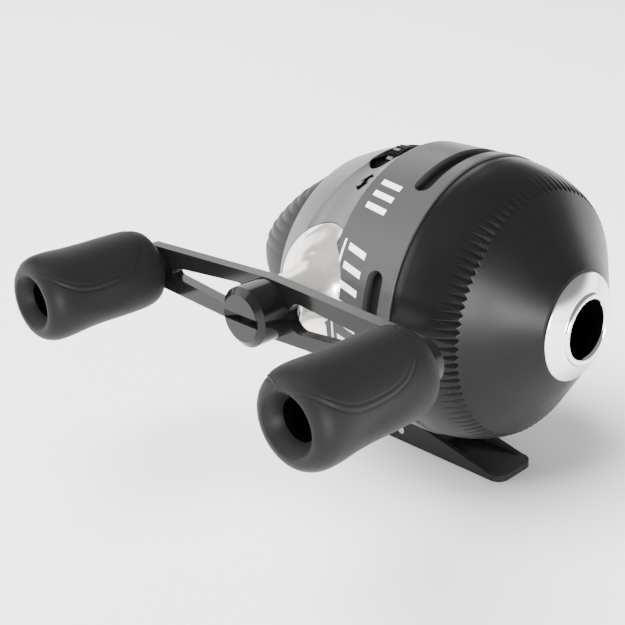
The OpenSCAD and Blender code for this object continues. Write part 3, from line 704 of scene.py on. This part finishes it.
# A knob's outline, as (distance from its inner end, radius).
KNOB = curve([(0.0, 6.9), (0.5, 7.9), (1.6, 8.8), (4.0, 9.3), (9.0, 9.45), (15.0, 9.45), (20.0, 9.55),
              (24.5, 9.8), (27.5, 9.7), (29.4, 9.1), (30.5, 8.2), (30.95, 7.2), (31.0, 6.4)], 12 // THIN)
KNOB_INSIDE = [(30.85, 6.15), (28.0, 4.15), (22.0, 3.9), (21.9, 2.68), (0.0, 2.68)]
# Faces nearer the knob's axis than this are inside its bore, and get painted shade.
KNOB_BORE_R = 4.16
# The thumb pad: its middle and half length along the knob, and its half width in radians.
PAD_MIDDLE, PAD_HALF_LENGTH, PAD_HALF_TURN = 17.5, 13.8, 1.29
# How far the pad stands out, and the lines along its edge: (distance in from the edge, depth) and width.
PAD_RISE = 0.16
PAD_LINES, PAD_LINE_WIDTH = ((0.85, 0.14), (-0.45, 0.13)), 0.26


def dip(distance, place, width):
    """Smooth hollow of depth 1 at a place."""
    return math.exp(-((distance - place) / width) ** 2)


def pad_change(s, r, turn):
    """Change of a knob's radius, at a distance s from its inner end.

    It comes from the raised pad, the double line along its edge and the waist beside it.
    """
    from_top = (turn + math.pi / 2) % (2 * math.pi) - math.pi
    u = abs((s - PAD_MIDDLE) / PAD_HALF_LENGTH)
    if u < 1:
        half_turn = PAD_HALF_TURN * max(1 - u ** 2.6, 0.0) ** 0.5
        gap = (half_turn - abs(from_top)) * r
    else:
        gap = -(u - 1) * PAD_HALF_LENGTH - 0.6 * abs(from_top) * r
    step = min(max(gap / 0.45 + 0.5, 0.0), 1.0)
    raised = PAD_RISE * step * step * (3 - 2 * step)
    lines = sum(depth * dip(gap, place, PAD_LINE_WIDTH) for place, depth in PAD_LINES)
    waist = dip(s, PAD_MIDDLE, 7.0) * (0.6 * dip(gap, -3.4, 2.6) + 0.2 * min(max(-gap / 6.0, 0.0), 1.0))
    return raised - lines - waist


def knob(name, body, centre_x, node):
    """Round grip with a half-moon thumb pad that stands out inside a double line."""
    outline = KNOB + KNOB_INSIDE
    segments = 400 // THIN
    verts = []
    for s, r in outline:
        for j in range(segments):
            turn = 2 * math.pi * j / segments
            outside = r > 6.3 and s > 0.2
            radius = r + (pad_change(s, r, turn) if outside else 0.0)
            x, z = centre_x + radius * math.cos(turn), CRANK_Z + radius * math.sin(turn)
            verts.append((x, -KNOB_START - s, z))
    faces = grid_faces(len(outline), segments, wrap_rows=True)
    obj = make(name, verts, faces, body, RUBBER, (node,))
    # The faces inside the bore get painted shade, darker than the rubber.
    darken(obj, lambda x, y, z: math.hypot(x - centre_x, z - CRANK_Z) < KNOB_BORE_R)


# ---- thumb button and its spring ----

# Station of the button's open front, and the top and bottom of its outline there.
BUTTON_FRONT, BUTTON_TOP, BUTTON_BOTTOM = -17.8, 67.2, 33.8
# The button's outline in its middle plane, as (x, z), from its top front edge round to the bottom.
BUTTON_OUTLINE = [(BUTTON_FRONT, BUTTON_TOP), (-20.4, 67.15), (-23.4, 66.5), (-28.0, 63.3), (-32.8, 60.0),
                  (-38.4, 54.7), (-41.9, 50.3), (-43.4, 46.3), (-42.9, 41.6), (-40.2, 37.3), (-36.0, 34.7),
                  (-31.0, 33.85), (-24.0, BUTTON_BOTTOM), (BUTTON_FRONT, BUTTON_BOTTOM)]
# Radius of its sides and the heights between which they are straight.
BUTTON_R, BUTTON_LOW, BUTTON_HIGH = 23.25, AXIS_Z + 0.3, AXIS_Z + 2.2
# Grooves across its upper back: between which heights, how deep, and how far apart.
RIDGE_LOW, RIDGE_HIGH, RIDGE_DEPTH, RIDGE_PITCH = 46.5, 62.0, 0.7, 3.0


def button_sheet(inset, rows, cols):
    """Grid over the button's outer face, or over its inner face at a depth, and the number of its rows."""
    path = curve(BUTTON_OUTLINE, rows)
    points, travelled = [], 0.0
    for i, (x, z) in enumerate(path):
        x0, z0 = path[max(i - 1, 0)]
        x1, z1 = path[min(i + 1, len(path) - 1)]
        travelled += math.dist((x, z), (x0, z0))
        run = math.hypot(x1 - x0, z1 - z0)
        at_end = i in (0, len(path) - 1)
        groove = 0.0
        if RIDGE_LOW < z < RIDGE_HIGH and not inset:
            groove = RIDGE_DEPTH * (0.5 + 0.5 * math.cos(2 * math.pi * travelled / RIDGE_PITCH)) ** 2
        for j in range(cols):
            side = math.sin(math.pi / 2 * (2 * j / (cols - 1) - 1))
            drop = inset + groove * (1 - side ** 10)
            px = BUTTON_FRONT if at_end else min(x - (z1 - z0) / run * drop, BUTTON_FRONT)
            pz = min(max(z + (x1 - x0) / run * drop, BUTTON_BOTTOM + inset), BUTTON_TOP - inset)
            lift = pz - min(max(pz, BUTTON_LOW), BUTTON_HIGH)
            half = math.sqrt(max((BUTTON_R - inset) ** 2 - lift * lift, 0.04))
            depth = (BUTTON_FRONT - px) * max(1 - abs(side) ** 3.2, 0) ** 0.5
            points.append((BUTTON_FRONT - depth, half * side, pz))
    return points, len(path)


def thumb_button():
    """Rounded thumb button with grooves across its upper back, open at the front, and its post."""
    wall, steps, cols = 1.8, 18 // THIN, 72 // THIN
    outer, rows = button_sheet(0.0, steps, cols)
    inner, _ = button_sheet(wall, steps, cols)
    size = len(outer)
    faces = grid_faces(rows, cols, wrap_cols=False)
    faces += [tuple(i + size for i in reversed(face)) for face in faces]
    top, bottom = list(range(cols)), list(range((rows - 1) * cols, rows * cols))
    right = [i * cols + cols - 1 for i in range(1, rows - 1)]
    left = [i * cols for i in range(rows - 2, 0, -1)]
    rim = top + right + bottom[::-1] + left
    for a, b in zip(rim, rim[1:] + rim[:1]):
        faces.append((a, b, b + size, a + size))
    make("thumb_button_shell", outer + inner, faces, "button", BUTTON, ("thumb_button",))
    post_rear, post_front, post_r, core = -40.6, -27.05, 3.6, 0.05
    post = [(post_rear, core), (post_rear, post_r), (post_front, post_r), (post_front, core)]
    revolve("thumb_button_post", post, "button", BUTTON, (), 48)


def return_spring():
    """Coil between the button's post and the shaft bracket, with a mesh of its own; the real coil shortens as
    the button is pressed.
    """
    around, per_turn, turns = 12, 40, 3.5
    rear, length, wire, radius = -26.0, 7.7, 0.325, 2.85
    steps = int(per_turn * turns)
    verts = []
    for i in range(steps + 1):
        turn = 2 * math.pi * i / per_turn
        x = rear + wire + (length - 2 * wire) * i / steps
        for k in range(around):
            b = 2 * math.pi * k / around
            verts.append(reel_point(x + wire * math.sin(b), radius + wire * math.cos(b), turn))
    caps = [tuple(range(around)), tuple(range(len(verts) - 1, len(verts) - 1 - around, -1))]
    obj = make("return_spring_coil", verts, grid_faces(steps + 1, around) + caps, "reel_body", STEEL,
               ("return_spring",))
    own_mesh(obj)


# ---- CAD pieces that are shown, and their finish ----

def paint(obj, finish):
    """Finish for a CAD piece."""
    obj.data.materials.clear()
    obj.data.materials.append(finish)
    obj.data.shade_smooth()


def dress(names, finish, width, segments=2):
    """Finish for CAD pieces, whose flat faces are joined and whose edges are then softened."""
    for name in names.split():
        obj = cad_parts[name]
        paint(obj, finish)
        flat = obj.modifiers.new("flat", "DECIMATE")
        flat.decimate_type = "DISSOLVE"
        flat.angle_limit = math.radians(0.6)
        soften(obj, width, segments, 35)


def dress_frame():
    dress("frame foot", BLACK, 0.3)
    dress("handle handle_nut", GLOSS, 0.28, 3)
    dress("drag_dial", PLASTIC, 0.12)
    dress("nose_retainer knob_spindles", BLACK, 0.08)
    dress("side_screw crank_shaft ratchet_wheel crank_clip handle_washer knob_screws pinion_collar "
          "centre_shaft shaft_clip pickup_pin spool_washer spool_clip pawl pawl_pin shaft_bracket "
          "bracket_screws foot_pin foot_screws cover_screws", STEEL, 0.08)
    dress("drive_gear crank_bushing pinion_gear pinion_bushing drag_screw", BRASS, 0.06)
    dress("spool", ALUMINIUM, 0.15)
    dress("spinner_head spinner_nut", BLACK, 0.15)
    dress("knob_washers", BLACK, 0.15)
    dress("line_pack", LINE, 0.2)
    dress("drag_shoe", FELT, 0.15)
    paint(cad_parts["drag_spring"], STEEL)


# ---- studio: places and sizes here are in metres, and powers in watts ----

def floor():
    """Pale floor just under the foot."""
    half, z = 1.8, -0.0003
    mesh = bpy.data.meshes.new("floor")
    corners = [(-half, -half, z), (half, -half, z), (half, half, z), (-half, half, z)]
    mesh.from_pydata(corners, [], [(0, 1, 2, 3)])
    obj = bpy.data.objects.new("floor", mesh)
    bpy.context.scene.collection.objects.link(obj)
    obj.data.materials.append(PAPER)


def surroundings():
    """White world, bright up to just over the horizon and dim above."""
    world = bpy.data.worlds.new("studio")
    bpy.context.scene.world = world
    world.use_nodes = True
    nodes, links = world.node_tree.nodes, world.node_tree.links
    nodes["Background"].inputs["Color"].default_value = (1, 1, 1, 1)
    direction = nodes.new("ShaderNodeTexCoord")
    parts = nodes.new("ShaderNodeSeparateXYZ")
    fall = nodes.new("ShaderNodeMapRange")
    fall.interpolation_type = "SMOOTHSTEP"
    fall_start, fall_end, bright, dim = 0.10, 0.27, 3.3, 0.30
    fall.inputs["From Min"].default_value = fall_start
    fall.inputs["From Max"].default_value = fall_end
    fall.inputs["To Min"].default_value = bright
    fall.inputs["To Max"].default_value = dim
    links.new(direction.outputs["Generated"], parts.inputs["Vector"])
    links.new(parts.outputs["Z"], fall.inputs["Value"])
    links.new(fall.outputs["Result"], nodes["Background"].inputs["Strength"])


def lamp(name, place, target, width, height, power):
    """Rectangular lamp that points at a target."""
    light = bpy.data.lights.new(name, "AREA")
    light.shape = "RECTANGLE"
    light.size, light.size_y = width, height
    light.energy = power
    obj = bpy.data.objects.new(name, light)
    bpy.context.scene.collection.objects.link(obj)
    obj.location = Vector(place)
    obj.rotation_mode = "QUATERNION"
    obj.rotation_quaternion = (Vector(target) - Vector(place)).to_track_quat("-Z", "Y")
    return obj


def lamps():
    middle = (0, 0, 0.04)
    overhead = lamp("overhead", (-0.55, -1.05, 2.4), (0, 0.1, 0), 2.4, 2.4, 310)
    overhead.visible_glossy = False
    lamp("rim", (-0.80, 0.50, 0.62), middle, 0.6, 0.6, 3)
    lamp("left", (-0.85, -0.75, 0.50), middle, 0.9, 0.75, 8)
    lamp("front", (0.80, -0.34, 0.10), middle, 0.34, 0.3, 16)


def camera():
    """Camera in front of the reel on its crank side, looking down at it and turned slightly."""
    place = Vector((0.16354, -0.18842, 0.13860))
    heading, pitch, roll = 47.25, -22.75, -2.27
    data = bpy.data.cameras.new("camera")
    data.lens = 64.27
    data.sensor_width = 36
    data.clip_start, data.clip_end = 0.01, 20
    obj = bpy.data.objects.new("camera", data)
    bpy.context.scene.collection.objects.link(obj)
    obj.matrix_world = (Matrix.Translation(place)
                        @ Matrix.Rotation(math.radians(heading), 4, "Z")
                        @ Matrix.Rotation(math.radians(90 + pitch), 4, "X")
                        @ Matrix.Rotation(math.radians(roll), 4, "Z"))
    bpy.context.scene.camera = obj


front_cover()
nose_ring()
body_band()
band_print()
back_cover()
dial_marks()
dial_well()
dial_bars()
side_plate()
knob("grip_rear", "rear_grip", -45.5, "rear_knob")
knob("grip_front", "front_grip", 37.5, "front_knob")
thumb_button()
return_spring()
dress_frame()
floor()
surroundings()
lamps()
camera()
